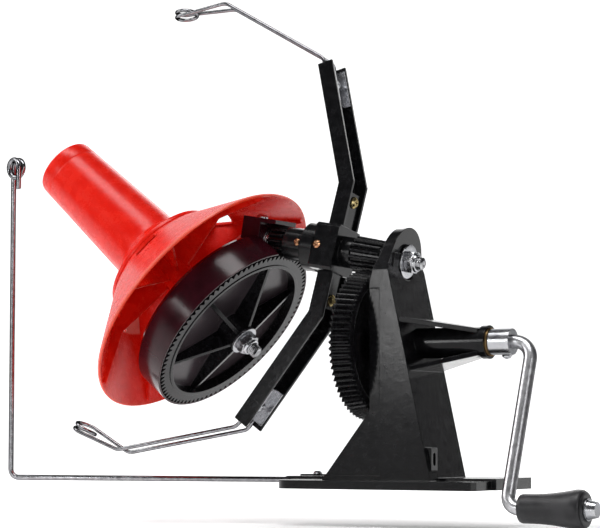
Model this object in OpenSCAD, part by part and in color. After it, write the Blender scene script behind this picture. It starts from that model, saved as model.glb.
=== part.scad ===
// Hand-cranked flyer ball winder. A moulded stand holds a fixed, tilted main shaft. The crank turns
// a bevel drive gear, which spins the two-armed flyer on the main shaft. A small pinion on the
// flyer turns the bobbin slowly the other way, about an axis tilted further up.
// +X points to the crank, +Y to the side of the yarn guide's socket and +Z up.
// The origin is on the foot's underside, below the column.

/* [Stand] */
// Reach of the front of the foot towards the crank
foot_right = 83; // [76:1:84]
// Reach of the front of the foot towards the bobbin
foot_left = 86; // [80:1:90]
// Width of the foot from front to back
foot_w = 91; // [88:1:100]
// Thickness of the front of the foot
foot_t = 6.5; // [5:0.5:8]
// Width of the column
column_w = 61; // [60:1:62]
// Wall thickness of the column
wall_t = 4; // [3:0.5:5]
// Height of the crank's axis
crank_h = 109; // [108:0.5:110]

/* [Shafts] */
// Height of the main shaft's axis above the origin
main_h = 172.4; // [172:0.2:173]
// Upward tilt of the main shaft towards the bobbin, in degrees
main_tilt = 10; // [9.5:0.5:10.5]
// Upward tilt of the bobbin's axis, in degrees
bobbin_tilt = 40.3; // [40:0.1:40.5]
// Distance along X from the origin to the point where these two axes meet
meet_x = 260.6; // [260:0.2:261]
// Diameter of the main shaft, the crank rod and the bobbin's shaft
shaft_d = 10; // [9.8:0.1:10]

/* [Gears] */
// Teeth on the crank's drive gear
drive_teeth = 72; // [70:2:74]
// Teeth on the flyer's pinion
flyer_teeth = 16; // [16:1:17]
// Teeth on the bobbin's gear
bobbin_teeth = 88; // [86:2:90]
// Teeth on the small pinion that drives the bobbin
small_teeth = 14; // [14:1:15]
// Free play between meshing teeth
backlash = 0.4; // [0.3:0.02:0.5]

/* [Crank] */
// Distance from the crank's axis to the grip's axis
throw = 130; // [120:1:132]
// Angle of the crank from straight down, in degrees
crank_turn = 22; // [0:1:30]
// Length of the grip
grip_len = 50; // [46:1:54]

/* [Flyer] */
// Turn of the flyer from upright, in degrees
flyer_turn = 9; // [0:1:20]
// Distance from the main shaft to the bend in each arm
knee_r = 52.4; // [51:0.2:53]
// Distance from the main shaft to the tip of each arm
tip_r = 145; // [142:1:148]
// Lean of the outer arm towards the bobbin, in degrees
arm_lean = 25; // [24:1:26]
// Width of the arms
arm_w = 25; // [24.5:0.5:26]
// Depth of the arms
arm_d = 12.5; // [12:0.5:13]
// Distance between the two legs of a wire guide
leg_gap = 17; // [16:0.5:17]
// Diameter of the wire guides' wire
wire_d = 3; // [2.6:0.1:3]

/* [Bobbin] */
// Radius of the flange
flange_r = 107.5; // [104:0.5:108]
// Radius of the tube at its free end
tube_r = 25.4; // [24:0.1:26]
// Radius of the tube at the flange
tube_base_r = 30.4; // [30:0.1:31]

/* [Yarn guide] */
// Reach of the yarn guide from its socket
guide_reach = 260; // [240:1:265]
// Height of the yarn guide's eye
guide_h = 262; // [220:1:265]
// Diameter of the yarn guide's wire
guide_d = 4.4; // [4:0.1:4.4]

/* [Hidden] */
$fn = 64;
slack = 0.05;
shaft_r = shaft_d / 2;
bore_r = shaft_r + slack;
bush_r = 7.5;
half_w = column_w / 2;
front_y = -foot_w / 2;
back_y = foot_w / 2;

// Where the shafts' axes cross, and the angle between the main shaft and the bobbin's axis
crank_tip_x = (main_h - crank_h) / tan(main_tilt);
crank_tip_t = crank_tip_x / cos(main_tilt);
meet_z = main_h + meet_x * tan(main_tilt);
meet_t = meet_x / cos(main_tilt);
cross_a = bobbin_tilt - main_tilt;

// Pitch cones: the two of a pair add up to the angle between their shafts
drive_cone = atan(sin(main_tilt) / (cos(main_tilt) + flyer_teeth / drive_teeth));
flyer_cone = main_tilt - drive_cone;
bobbin_cone_a = atan(sin(cross_a) / (cos(cross_a) + small_teeth / bobbin_teeth));
small_cone = cross_a - bobbin_cone_a;

// Drive gear and flyer pinion: their wide ends face the bobbin
drive_x = -30.3;
drive_face = 15.3;
drive_tip = crank_tip_x - drive_x;
flyer_tip = drive_tip / cos(drive_cone) * cos(flyer_cone);
pinion_t = crank_tip_t - flyer_tip;
pinion_face = 15.6;
pinion_spare = 9; // the pinion reaches this far past the drive gear

// Bobbin gear and small pinion: their wide ends face the crank
gear_s = 148.5;
gear_face = 11;
small_tip = gear_s / cos(bobbin_cone_a) * cos(small_cone);
small_t = small_tip - meet_t;
small_face = 13;

// Housing between the flange and the bobbin gear, in distances along the bobbin's axis
dish_s = 119.2;
dish_end = 148;
dish_r = 76.6;
dish_in_r = 75.1;
hub_front = 114.5;
hub_back = 133.6;

// Axial places on the main shaft
head_t = 4.6;
boss_t = -10.7;
block_t = -134.4;
block_end = -118.4;
housing_screw_t = -126.4;
shaft_end = 20.5;

tube_end = 75;
rod_x = 109.5;
elbow_r = 15;
grip_elbow_r = 10;
grip_x = 121;
arm_t = -54.5;
arm_root = 18.3;
outer_len = (tip_r - knee_r) / cos(arm_lean);
channel_t = 2.4;
wire_off = channel_t - arm_d / 2 + wire_d / 2 + 0.1;
socket_x = -104.4;
guide_y = 37;
guide_z = 5;
guide_turn = 9.7;
back_foot_t = 8.5;
hollow_z = 9.6;
step_y = -17;
head_r = 24.6;
panel_depth = 1.2;

// ---- Frames: each puts +Z along an axis, towards the crank, and +X downwards ----
module on_crank() { translate([0, 0, crank_h]) rotate([0, 90, 0]) children(); }
module on_main() { translate([0, 0, main_h]) rotate([0, 90 + main_tilt, 0]) children(); }
module on_bobbin() { translate([-meet_x, 0, meet_z]) rotate([0, 90 + bobbin_tilt, 0]) children(); }
module on_flyer() { on_main() rotate([0, 0, -flyer_turn]) children(); }
// Arm frames: +Z runs outwards along the arm, and +X faces its open side
module on_arm_root(side) {
    on_flyer() rotate([0, 0, side]) translate([0, 0, arm_t]) rotate([0, -90, 0]) children();
}
module on_arm_outer(side) {
    on_arm_root(side) translate([0, 0, knee_r]) rotate([0, -arm_lean, 0]) children();
}
// Frame at the socket's mouth: +Z runs out of it along the yarn guide's wire
module on_socket() {
    translate([socket_x, guide_y, guide_z]) rotate([0, 0, guide_turn]) rotate([0, -90, 0]) children();
}

// ---- Shapes used more than once ----
module ring(outer, inner, z0, z1) {
    translate([0, 0, z0]) difference() {
        cylinder(r = outer, h = z1 - z0);
        translate([0, 0, -1]) cylinder(r = inner, h = z1 - z0 + 2);
    }
}
module hex_nut(across, inner, z0, z1) {
    translate([0, 0, z0]) difference() {
        intersection() {
            cylinder(r = across / sqrt(3), h = z1 - z0, $fn = 6);
            cylinder(r1 = across * 0.7, r2 = across * 0.54, h = z1 - z0);
            cylinder(r1 = across * 0.54, r2 = across * 0.7, h = z1 - z0);
        }
        translate([0, 0, -1]) cylinder(r = inner, h = z1 - z0 + 2);
    }
}
// Pan-head screw: its head stands on z = 0, and its shank points down
module pan_screw(head_r, head_h, shank_r, shank_len) {
    difference() {
        union() {
            cylinder(r = head_r, h = head_h * 0.4);
            translate([0, 0, head_h * 0.4]) cylinder(r1 = head_r, r2 = head_r * 0.62, h = head_h * 0.6);
        }
        for (a = [0, 90]) rotate([0, 0, a])
            translate([-head_r * 0.5, -head_r * 0.1, head_h * 0.55])
            cube([head_r, head_r * 0.2, head_h]);
    }
    translate([0, 0, -shank_len]) cylinder(r = shank_r, h = shank_len + 0.5);
}

// ---- Gear teeth: involute flanks, with a straight root below the base circle ----
press_a = 25;
function inv(a) = tan(a) * 180 / PI - a;
function half_angle(r, rp, half) = let (rb = rp * cos(press_a))
    half + inv(press_a) - (r > rb ? inv(acos(rb / r)) : 0);
function tooth_radii(rp, add, ded) = [rp - ded, max(rp - ded * 0.6, rp * cos(press_a)), rp, rp + add];
function gear_points(n, rp, add, ded) =
    let (half = 90 / n - backlash * 45 / PI / rp, radii = tooth_radii(rp, add, ded))
    [for (k = [0:n - 1]) each concat(
        [for (r = radii) let (a = k * 360 / n - half_angle(r, rp, half)) r * [cos(a), sin(a)]],
        [for (i = [3:-1:0]) let (r = radii[i], a = k * 360 / n + half_angle(r, rp, half))
            r * [cos(a), sin(a)]])];
// Solid bevel gear: its wide end is on z = 0, and it narrows to the cone's tip, tip_h above
module bevel_gear(n, tip_h, cone, face) {
    rp = tip_h * tan(cone);
    depth = 2 * rp / n / cos(cone);
    linear_extrude(height = face, scale = (tip_h - face) / tip_h)
        polygon(gear_points(n, rp, 0.85 * depth, 1.1 * depth));
}

// ---- Bent rod: straight runs with round bends, in the local X-Z plane ----
// Each entry of runs is [length, turn towards +X in degrees, radius of the bend after it]
module bent_rod(d, runs, i = 0) {
    len_i = runs[i][0];
    turn = runs[i][1];
    r = runs[i][2];
    cylinder(d = d, h = len_i);
    if (i < len(runs) - 1) translate([0, 0, len_i]) {
        if (turn > 0) {
            translate([r, 0, 0]) rotate([90, 0, 0]) rotate([0, 0, 180 - turn])
                rotate_extrude(angle = turn) translate([r, 0]) circle(d = d);
            translate([r, 0, 0]) rotate([0, turn, 0]) translate([-r, 0, 0]) bent_rod(d, runs, i + 1);
        } else mirror([1, 0, 0]) {
            translate([r, 0, 0]) rotate([90, 0, 0]) rotate([0, 0, 180 + turn])
                rotate_extrude(angle = -turn) translate([r, 0]) circle(d = d);
            translate([r, 0, 0]) rotate([0, -turn, 0]) translate([-r, 0, 0]) mirror([1, 0, 0])
                bent_rod(d, runs, i + 1);
        }
    }
}

// ---- Swept wire: a ring of corners round each point of a path ----
// side_hint is a direction that the path never runs along
function unit(v) = v / norm(v);
function heading(p, i) = unit(p[min(i + 1, len(p) - 1)] - p[max(i - 1, 0)]);
function corner_ring(p, i, r, side_hint, sides) =
    let (t = heading(p, i), u = unit(cross(t, side_hint)), v = cross(t, u))
    [for (k = [0:sides - 1]) p[i] + r * (cos(k * 360 / sides) * u + sin(k * 360 / sides) * v)];
module wire(path, d, side_hint, sides = 10) {
    last = len(path) - 1;
    polyhedron(
        [for (i = [0:last]) each corner_ring(path, i, d / 2, side_hint, sides)],
        concat(
            [[for (k = [0:sides - 1]) k]],
            [[for (k = [sides - 1:-1:0]) last * sides + k]],
            [for (i = [0:last - 1], k = [0:sides - 1]) let (a = i * sides + k, b = i * sides + (k + 1) % sides)
                [a, a + sides, b + sides, b]]));
}
// Points round the bend at corner b, on the way from a to c
function bend_points(a, b, c, r, steps) =
    let (u = unit(b - a), v = unit(c - b), turn = acos(u * v), start = b - u * r * tan(turn / 2),
        w = unit(v - (v * u) * u))
    [for (k = [0:steps]) let (f = turn * k / steps) start + r * (sin(f) * u + (1 - cos(f)) * w)];

// ---- Stand ----
function wall_x(z) = head_t + (main_h - 4 - z) * 0.2194;
module column_outline() {
    polygon([[wall_x(0), 0], [-54, 0], [-50, back_foot_t], [-11, 58], [-11, 146], [-9.8, 156],
        [-6.8, 166], [-3, 178], [1.5, main_h + 26], [9.6, main_h + 26], [head_t - 0.1, main_h - 4]]);
}
module column() {
    intersection() {
        difference() {
            rotate([90, 0, 0]) linear_extrude(height = column_w, center = true) column_outline();
            rotate([90, 0, 0]) linear_extrude(height = column_w - 2 * wall_t, center = true)
                polygon([[-90, hollow_z], [wall_x(hollow_z) - wall_t, hollow_z],
                    [wall_x(150) - wall_t, 148], [-90, 148]]);
        }
        // Seen along X: straight sides, then shoulders up to a round head
        rotate([90, 0, 90]) linear_extrude(height = 240, center = true) union() {
            polygon([[-half_w, 0], [half_w, 0], [half_w, main_h - 8.4], [head_r * 0.919, main_h + 9.8],
                [-head_r * 0.919, main_h + 9.8], [-half_w, main_h - 8.4]]);
            translate([0, main_h]) circle(r = head_r, $fn = 96);
        }
        // The flared part of each side wall lies a little deeper
        difference() {
            translate([-100, -60, 0]) cube([220, 120, 240]);
            for (side = [-1, 1]) translate([-102, side * (half_w + 5 - panel_depth) - 5, back_foot_t + 1.5])
                cube([100, 10, 140]);
        }
    }
}
module foot() {
    corner_r = 14;
    linear_extrude(height = foot_t) {
        polygon([[corner_r - foot_left, front_y], [foot_right - 3, front_y], [foot_right, front_y + 3],
            [foot_right, step_y], [foot_right + 4, step_y], [foot_right + 4, back_y], [socket_x, back_y],
            [socket_x, 8], [-foot_left, 4], [-foot_left, front_y + corner_r]]);
        translate([corner_r - foot_left, front_y + corner_r]) circle(r = corner_r);
    }
    // The back half stands higher
    translate([socket_x, 8, 0]) cube([foot_right + 4 - socket_x, back_y - 8, back_foot_t]);
    translate([-44, step_y, 0]) cube([foot_right + 48, 30, back_foot_t]);
}
// Plates that widen from the crank's tube to the full width of the end wall
module gusset(z_wall, z_end) {
    slope = atan((z_end - z_wall) / (tube_end - 18));
    translate([14, 0, z_wall]) rotate([0, -slope, 0]) translate([0, 0, -1.75])
        linear_extrude(height = 3.5)
        polygon([[0, 1 - half_w], [56, -10], [56, 10], [0, half_w - 1]]);
}
module stand() color("#1c1c1f") difference() {
    union() {
        foot();
        column();
        on_crank() translate([0, 0, -9]) cylinder(r = 11.5, h = tube_end + 9);
        on_crank() translate([0, 0, tube_end - 5]) cylinder(r = 12.6, h = 5);
        gusset(crank_h + 17.5, crank_h + 8);
        gusset(crank_h - 21, crank_h - 8);
        on_main() translate([0, 0, boss_t]) cylinder(r = 11, h = 12);
        on_main() translate([-5.5, -21, 0]) cube([11, 42, head_t + 1.6]);
        translate([wall_x(22) - 3, -27, 14]) cube([5.6, 10, 17]);
        translate([socket_x, guide_y - 7, 0]) cube([26, 14, 9.6]);
    }
    on_crank() translate([0, 0, -20]) cylinder(r = bush_r + slack, h = 120);
    on_main() translate([0, 0, -20]) cylinder(r = bore_r, h = 60);
    // Flat seat for the main shaft's washer
    on_main() translate([0, 0, head_t + 1.6]) cylinder(r = 14, h = 40);
    translate([wall_x(22) - 12, -22, 22.5]) rotate([0, 90, 0]) {
        for (k = [-2.5, 2.5]) translate([k, 0, 0]) cylinder(r = 2.2, h = 20);
        translate([-2.5, -2.2, 0]) cube([5, 4.4, 20]);
    }
    on_socket() translate([0, 0, -22]) cylinder(d = guide_d + 2 * slack, h = 40);
    on_socket() translate([0, 0, -11]) rotate([0, 90, 0]) cylinder(r = 2 + slack, h = 20);
}

// ---- Fixed parts on the main shaft ----
module main_shaft() color("#c2c3c6") on_main() {
    translate([0, 0, block_t + 1]) cylinder(r = shaft_r, h = shaft_end - block_t - 2);
    translate([0, 0, shaft_end - 1]) cylinder(r1 = shaft_r, r2 = shaft_r - 1, h = 1);
}
module shaft_washer() color("#cfd0d3") on_main() ring(13, bore_r, head_t + 1.6, head_t + 3.4);
module shaft_nut() color("#c9cacd") on_main() hex_nut(16, bore_r, head_t + 3.4, head_t + 11.6);
module thrust_washers() color("#d2d3d6") on_main() {
    for (k = [0:2]) ring(8.6, bore_r, block_end + 0.05 + 1.65 * k, block_end + 1.6 + 1.65 * k);
    ring(9, bore_r, boss_t - 1.6, boss_t - 0.05);
}
module housing_block() {
    on_main() translate([-16.4, -15, block_t]) cube([39.4, 31.4, block_end - block_t]);
    on_main() translate([-16.4, -15, block_end - 1]) cube([3.2, 30, 14.5]);
    on_main() translate([-16.4, 13.2, block_end - 1]) cube([22, 3.2, 14.5]);
}
module bobbin_housing() color("#1a191c") difference() {
    union() {
        on_bobbin() rotate_extrude($fn = 96) polygon([[0, dish_s], [dish_r - 4, dish_s],
            [dish_r, dish_s + 4], [dish_r, dish_end], [dish_in_r, dish_end],
            [dish_in_r, dish_s + 5], [dish_in_r - 2, dish_s + 3], [0, dish_s + 3]]);
        on_bobbin() translate([0, 0, hub_front]) cylinder(r = 13, h = hub_back - hub_front);
        difference() {
            housing_block();
            on_bobbin() translate([0, 0, dish_s + 3]) cylinder(r = dish_in_r - 1, h = 60);
        }
    }
    on_bobbin() translate([0, 0, 90]) cylinder(r = bush_r + slack, h = 80);
    on_main() translate([0, 0, block_t - 10]) cylinder(r = bore_r, h = 80);
    // Room for the thrust washers, the small pinion and the end of the flyer
    on_main() translate([0, 0, block_end]) cylinder(r = 13.1, h = 40);
    on_main() translate([0, 0, small_t - 3]) cylinder(r = 16, h = 40);
    on_main() translate([0, 0, housing_screw_t]) rotate([0, -90, 0]) cylinder(r = 2.5 + slack, h = 30);
}
module housing_screw() color("#b8b9bc") on_main() translate([-16.4, 0, housing_screw_t]) rotate([0, -90, 0])
    pan_screw(4.5, 3, 2.5, 11.2);
module bobbin_bush() color("#b08d4a") on_bobbin() {
    ring(bush_r, bore_r, hub_front, hub_back);
    ring(10.5, bore_r, hub_front - 1.6, hub_front);
}
module crank_bush_inner() color("#b08d4a") on_crank() {
    ring(bush_r, bore_r, -9, 11);
    ring(10.5, bore_r, -10.4, -9);
}
module crank_bush_outer() color("#b08d4a") on_crank() {
    ring(bush_r, bore_r, tube_end - 20, tube_end);
    ring(10.5, bore_r, tube_end, tube_end + 1.4);
}

// ---- Crank ----
module crank_rod() color("#c6c7ca") {
    start = -46;
    on_crank() rotate([0, 0, -crank_turn]) translate([0, 0, start])
        bent_rod(shaft_d, [[rod_x - elbow_r - start, 90, elbow_r],
            [throw - elbow_r - grip_elbow_r, -90, grip_elbow_r],
            [grip_x + grip_len + 6 - rod_x - grip_elbow_r]]);
}
module drive_gear() color("#222226") on_crank() difference() {
    union() {
        difference() {
            translate([0, 0, drive_x]) bevel_gear(drive_teeth, drive_tip, drive_cone, drive_face);
            for (z = [drive_x - 1, drive_x + 10]) translate([0, 0, z]) cylinder(r = 46.5, h = 6.4);
        }
        translate([0, 0, -34]) cylinder(r = 12, h = 22.4);
    }
    translate([0, 0, -50]) cylinder(r = bore_r, h = 60);
}
module gear_washer() color("#cfd0d3") on_crank() ring(10, bore_r, -35.6, -34);
module gear_nut() color("#c9cacd") on_crank() hex_nut(16, bore_r, -43.6, -35.6);
module crank_collar() color("#cccdd0") on_crank() difference() {
    ring(9.8, bore_r, tube_end + 2, tube_end + 18.5);
    translate([0, 0, tube_end + 12]) rotate([0, 90, crank_turn]) cylinder(r = 2.5 + slack, h = 20);
}
module collar_screw() color("#c2c3c6") on_crank() translate([0, 0, tube_end + 12])
    rotate([0, 90, crank_turn]) translate([0, 0, 9.7]) pan_screw(4, 3, 2.5, 4.5);
module on_grip() { on_crank() rotate([0, 0, -crank_turn]) translate([throw, 0, 0]) children(); }
module grip() color("#2a2a2d") on_grip() difference() {
    rotate_extrude() polygon(concat([[0, grip_x], [9.3, grip_x], [10.5, grip_x + 1.2]],
        [for (k = [0:12]) let (f = k / 12) [10.5 + 3.75 * f - 1.1 * sin(180 * f), grip_x + 2 + (grip_len - 8) * f]],
        [for (k = [1:6]) [11.55 + 2.7 * cos(k * 15), grip_x + grip_len - 6 + 6 * sin(k * 15)]],
        [[0, grip_x + grip_len]]));
    translate([0, 0, grip_x - 1]) cylinder(r = bore_r, h = 90);
}
module grip_washer() color("#cfd0d3") on_grip() ring(8, bore_r, grip_x + grip_len + 0.3, grip_x + grip_len + 1.5);
module grip_nut() color("#d0d1d4") on_grip() difference() {
    translate([0, 0, grip_x + grip_len + 1.5]) cylinder(r1 = 7, r2 = 5.6, h = 6.5);
    translate([0, 0, grip_x + grip_len]) cylinder(r = bore_r, h = 6.2);
}

// ---- Flyer ----
hub_bush_r = 6.5;
module flyer_hub() color("#1a1a1d") on_flyer() difference() {
    union() {
        translate([0, 0, -38.4]) cylinder(r = 8, h = 25.2);
        translate([0, 0, -50]) cylinder(r = 12, h = 11.6);
        intersection() {
            translate([-18, -18, -68]) cube([36, 36, 20]);
            translate([0, 0, -68]) cylinder(r = 24, h = 20);
        }
        translate([0, 0, small_t + 1.6]) cylinder(r = 13, h = -67 - small_t - 1.6);
        // Tongues that the arms sit on
        for (side = [0, 180]) rotate([0, 0, side])
            translate([-46, -9.7, arm_t - arm_d / 2 + channel_t + 0.1]) cube([30, 19.4, 7.6]);
    }
    translate([0, 0, small_t - 1]) cylinder(r = hub_bush_r + slack, h = 100);
}
module flyer_bush_inner() color("#b08d4a") on_flyer() ring(hub_bush_r, bore_r, -33, -13.2);
module flyer_bush_outer() color("#b08d4a") on_flyer() ring(hub_bush_r, bore_r, -80, -60);
module flyer_pinion() color("#242428") on_main() difference() {
    translate([0, 0, pinion_t - pinion_spare]) rotate([0, 0, 180 / flyer_teeth])
        bevel_gear(flyer_teeth, flyer_tip + pinion_spare, flyer_cone, pinion_face + pinion_spare);
    translate([0, 0, -40]) cylinder(r = 8 + slack, h = 60);
}
module small_pinion() color("#55565a") on_main() difference() {
    union() {
        translate([0, 0, small_t]) mirror([0, 0, 1]) rotate([0, 0, 180 / small_teeth])
            bevel_gear(small_teeth, small_tip, small_cone, small_face);
        translate([0, 0, small_t - 1]) cylinder(r = hub_bush_r, h = 14);
    }
    translate([0, 0, small_t - 20]) cylinder(r = bore_r, h = 60);
}
module hub_collar() color("#202024") on_flyer() ring(19, 13 + slack, -79, -68.2);
module hub_screws() color("#b4733f") on_flyer() for (side = [90, 270]) rotate([0, 0, side]) {
    translate([12.8, 0, -84.4]) rotate([0, 90, 0]) pan_screw(2.8, 1.8, 1.5, 3);
    translate([18, 0, -64]) rotate([0, 90, 0]) pan_screw(3.2, 2, 1.5, 4);
}

// Outline of an arm's surface that lies off its middle line
function arm_line(off) = [[off, arm_root], [off, knee_r + off * tan(arm_lean / 2)],
    [-outer_len * sin(arm_lean) + off * cos(arm_lean),
        knee_r + outer_len * cos(arm_lean) + off * sin(arm_lean)]];
module arm_slab(off_0, off_1, w) {
    a = arm_line(off_0);
    b = arm_line(off_1);
    rotate([90, 0, 0]) linear_extrude(height = w, center = true)
        polygon([a[0], a[1], a[2], b[2], b[1], b[0]]);
}
module arm(side) {
    on_arm_root(side) difference() {
        arm_slab(-arm_d / 2, arm_d / 2, arm_w);
        // The channel is cut from stacked slabs, so it runs out past both ends
        rotate([90, 0, 0]) linear_extrude(height = arm_w - 2 * channel_t, center = true)
            polygon(let (a = arm_line(channel_t - arm_d / 2), b = arm_line(arm_d / 2 + 1),
                past = 3 * [-sin(arm_lean), cos(arm_lean)])
                [a[0] - [0, 3], a[1], a[2] + past, b[2] + past, b[1], b[0] - [0, 3]]);
        translate([-10, 0, 39]) rotate([0, 90, 0]) cylinder(r = 1.6, h = 20);
        translate([0, 0, knee_r]) rotate([0, -arm_lean, 0]) translate([-10, 0, outer_len - 17])
            rotate([0, 90, 0]) cylinder(r = 1.6, h = 20);
    }
    for (z = [10, 20]) on_arm_outer(side) translate([-arm_d / 2 + 1, 1 - arm_w / 2, z])
        cube([6, arm_w - 2, 1.8]);
}
module upper_arm() color("#1d1d20") arm(0);
module lower_arm() color("#1d1d20") arm(180);
module arm_screws() color("#b4733f") for (side = [0, 180]) on_arm_root(side)
    translate([channel_t - arm_d / 2 + 7.7, 0, 39]) rotate([0, 90, 0]) pan_screw(4.6, 2.6, 1.5, 10);
clip_off = wire_off + wire_d / 2 + 0.1;
module clip(side) on_arm_outer(side) difference() {
    translate([clip_off, -9.6, outer_len - 34]) difference() {
        cube([6.4, 19.2, 30]);
        translate([1.4, 1.4, -1]) cube([6, 16.4, 32]);
    }
    translate([clip_off - 1, 0, outer_len - 17]) rotate([0, 90, 0]) cylinder(r = 1.6, h = 4);
}
module upper_clip() color("#c4c5c8") clip(0);
module lower_clip() color("#c4c5c8") clip(180);
module clip_screws() color("#cfd0d3") for (side = [0, 180]) on_arm_outer(side)
    translate([clip_off + 1.4, 0, outer_len - 17]) rotate([0, 90, 0]) pan_screw(4, 2.4, 1.5, 7);

// Wire guide: both legs leave the arm's tip, bend twice and meet in a coil of one and a half turns
guide_far = [-149.6, 0, 185.7];
guide_end = [-189.6, 0, 175];
function leg_point(d) = [-sin(arm_lean) * d + wire_off * cos(arm_lean), 0,
    knee_r + cos(arm_lean) * d + wire_off * sin(arm_lean)];
guide_dir = unit(guide_end - guide_far);
guide_up = [-guide_dir[2], 0, guide_dir[0]];
coil_rise = 3.2;
function guide_leg(s) = let (y = [0, s * leg_gap / 2, 0], tip = guide_end + y - s * coil_rise * guide_up)
    concat([leg_point(outer_len - 33) + y],
        bend_points(leg_point(outer_len) + y, leg_point(outer_len + 9) + y, guide_far + y, 8, 5),
        bend_points(leg_point(outer_len + 9) + y, guide_far + y, tip, 12, 4));
function coil_points(steps) = [for (k = [0:steps]) let (a = 90 - 540 * k / steps)
    guide_end + leg_gap / 2 * (cos(a) * guide_dir + sin(a) * [0, 1, 0])
    + coil_rise * (2 * k / steps - 1) * guide_up];
function reversed(p) = [for (i = [len(p) - 1:-1:0]) p[i]];
module wire_guide(side) on_arm_root(side)
    wire(concat(guide_leg(1), coil_points(26), reversed(guide_leg(-1))), wire_d, [cos(70), 0, sin(70)]);
module upper_guide() color("#b9babd") wire_guide(0);
module lower_guide() color("#b9babd") wire_guide(180);

// ---- Bobbin ----
rib_count = 6;
web_r = 65.6;
module bobbin_gear() color("#1e1e22") on_bobbin() difference() {
    union() {
        difference() {
            translate([0, 0, gear_s]) mirror([0, 0, 1])
                bevel_gear(bobbin_teeth, gear_s, bobbin_cone_a, gear_face);
            translate([0, 0, gear_s - 8]) cylinder(r = web_r, h = 20);
        }
        ring(web_r + 0.2, web_r - 2.4, gear_s - 9, gear_s + 0.6);
        translate([0, 0, hub_back + 0.5]) cylinder(r = 12, h = 25);
        for (k = [0:rib_count - 1]) rotate([0, 0, k * 360 / rib_count + 8])
            rotate([90, 0, 0]) linear_extrude(height = 3, center = true)
            polygon([[8, gear_s - 9], [web_r - 2, gear_s - 9], [web_r - 2, gear_s - 3], [12, gear_s + 9.5],
                [8, gear_s + 9.5]]);
    }
    translate([0, 0, 100]) cylinder(r = bore_r, h = 80);
}
gear_hub_end = hub_back + 25.5;
module bobbin_shaft() color("#c2c3c6") on_bobbin() {
    translate([0, 0, 46]) cylinder(r = shaft_r, h = 130);
    translate([0, 0, 176]) cylinder(r1 = shaft_r, r2 = shaft_r - 1, h = 1);
}
module gear_end_washer() color("#cfd0d3") on_bobbin() ring(12, bore_r, gear_hub_end, gear_hub_end + 2);
module gear_end_nut() color("#c9cacd") on_bobbin() {
    hex_nut(16, bore_r, gear_hub_end + 2, gear_hub_end + 11);
}
module cone_washer() color("#cfd0d3") on_bobbin() ring(10, bore_r, 57.6, 59.4);
module cone_nut() color("#c9cacd") on_bobbin() hex_nut(16, bore_r, 49.4, 57.6);

// Distance along the bobbin's axis of the flange's front face at radius r
function flange_s(r) = 44 + (r - 30) * 0.857;
flange_t = 2.8;
hub_end_s = hub_front - 2.1;
module cone_shell() rotate_extrude($fn = 96) polygon(concat(
    [[0, -67], [tube_r - 1.5, -67], [tube_r, -65.5]],
    [for (k = [0:4]) [tube_base_r + 1.7 * (1 - cos(k * 14)), 37 + 1.9 * k]],
    [[34, flange_s(34)], [flange_r, flange_s(flange_r)], [flange_r, flange_s(flange_r) + 2.6],
        [flange_r - 1.6, flange_s(flange_r) + 2.6], [38, flange_s(38) + flange_t],
        [29.6, 43], [tube_base_r - 2.6, 37],
        [tube_r - 2.6, -64], [0, -64]]));
module bobbin_cone() color("#e02818") on_bobbin() difference() {
    union() {
        cone_shell();
        ring(52, 11, 59.4, 62.4);
        ring(13, 7, 59.4, hub_end_s);
        for (k = [0:7]) rotate([0, 0, k * 45 + 11]) rotate([90, 0, 0])
            linear_extrude(height = 2.2, center = true) polygon([[12, 61], [51, 61],
                [flange_r - 3, flange_s(flange_r - 3) + 1.5], [flange_r - 4, flange_s(flange_r - 4) + 6],
                [64, flange_s(64) + 13], [12, 82]]);
    }
    translate([0, 0, 40]) cylinder(r = bore_r, h = 80);
    // Four openings through the flange
    for (k = [0:3]) rotate([0, 0, 160 + 90 * k]) translate([52, -11, 40]) cube([11, 22, 60]);
}

// ---- Yarn guide ----
eye_r = 7.3;
eye_turn = 12;
module yarn_guide() color("#bfc0c3") {
    away = [-cos(guide_turn), -sin(guide_turn), 0];
    mouth = [socket_x, guide_y, guide_z];
    corner = mouth + guide_reach * away;
    top = [corner[0], corner[1], guide_h];
    h = [cos(eye_turn), -sin(eye_turn), 0];
    a = [-sin(eye_turn), -cos(eye_turn), 0];
    turns = 1.5;
    pitch = 4.9;
    coil = [for (k = [0:24]) let (f = 180 - 360 * turns * k / 24)
        top + eye_r * ((1 + cos(f)) * h + sin(f) * [0, 0, 1]) + a * pitch * turns * k / 24];
    wire(concat([mouth - 20 * away], bend_points(mouth, corner, top, 6, 6), coil,
        [coil[24] - [0, 0, 17]]), guide_d, a, 12);
}
module guide_screw() color("#b9babd") on_socket() translate([9.7 - guide_z, 0, -11])
    rotate([0, 90, 0]) pan_screw(3.6, 2.2, 2, 2.4);

stand();
main_shaft();
shaft_washer();
shaft_nut();
thrust_washers();
bobbin_housing();
housing_screw();
bobbin_bush();
crank_bush_inner();
crank_bush_outer();
crank_rod();
drive_gear();
gear_washer();
gear_nut();
crank_collar();
collar_screw();
grip();
grip_washer();
grip_nut();
flyer_hub();
flyer_bush_inner();
flyer_bush_outer();
flyer_pinion();
small_pinion();
hub_collar();
hub_screws();
upper_arm();
lower_arm();
arm_screws();
upper_clip();
lower_clip();
clip_screws();
upper_guide();
lower_guide();
bobbin_gear();
bobbin_shaft();
gear_end_washer();
gear_end_nut();
cone_washer();
cone_nut();
bobbin_cone();
yarn_guide();
guide_screw();
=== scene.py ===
"""Looks for the hand-cranked flyer ball winder: finishes for every moulded and turned part, and finer
pieces for the red bobbin, the bent wires, the shafts, nuts, washers and screws.
Lengths in the functions are in millimetres; everything is stored in metres."""
import math

import bmesh
import bpy
import numpy as np
from mathutils import Matrix, Vector


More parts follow.
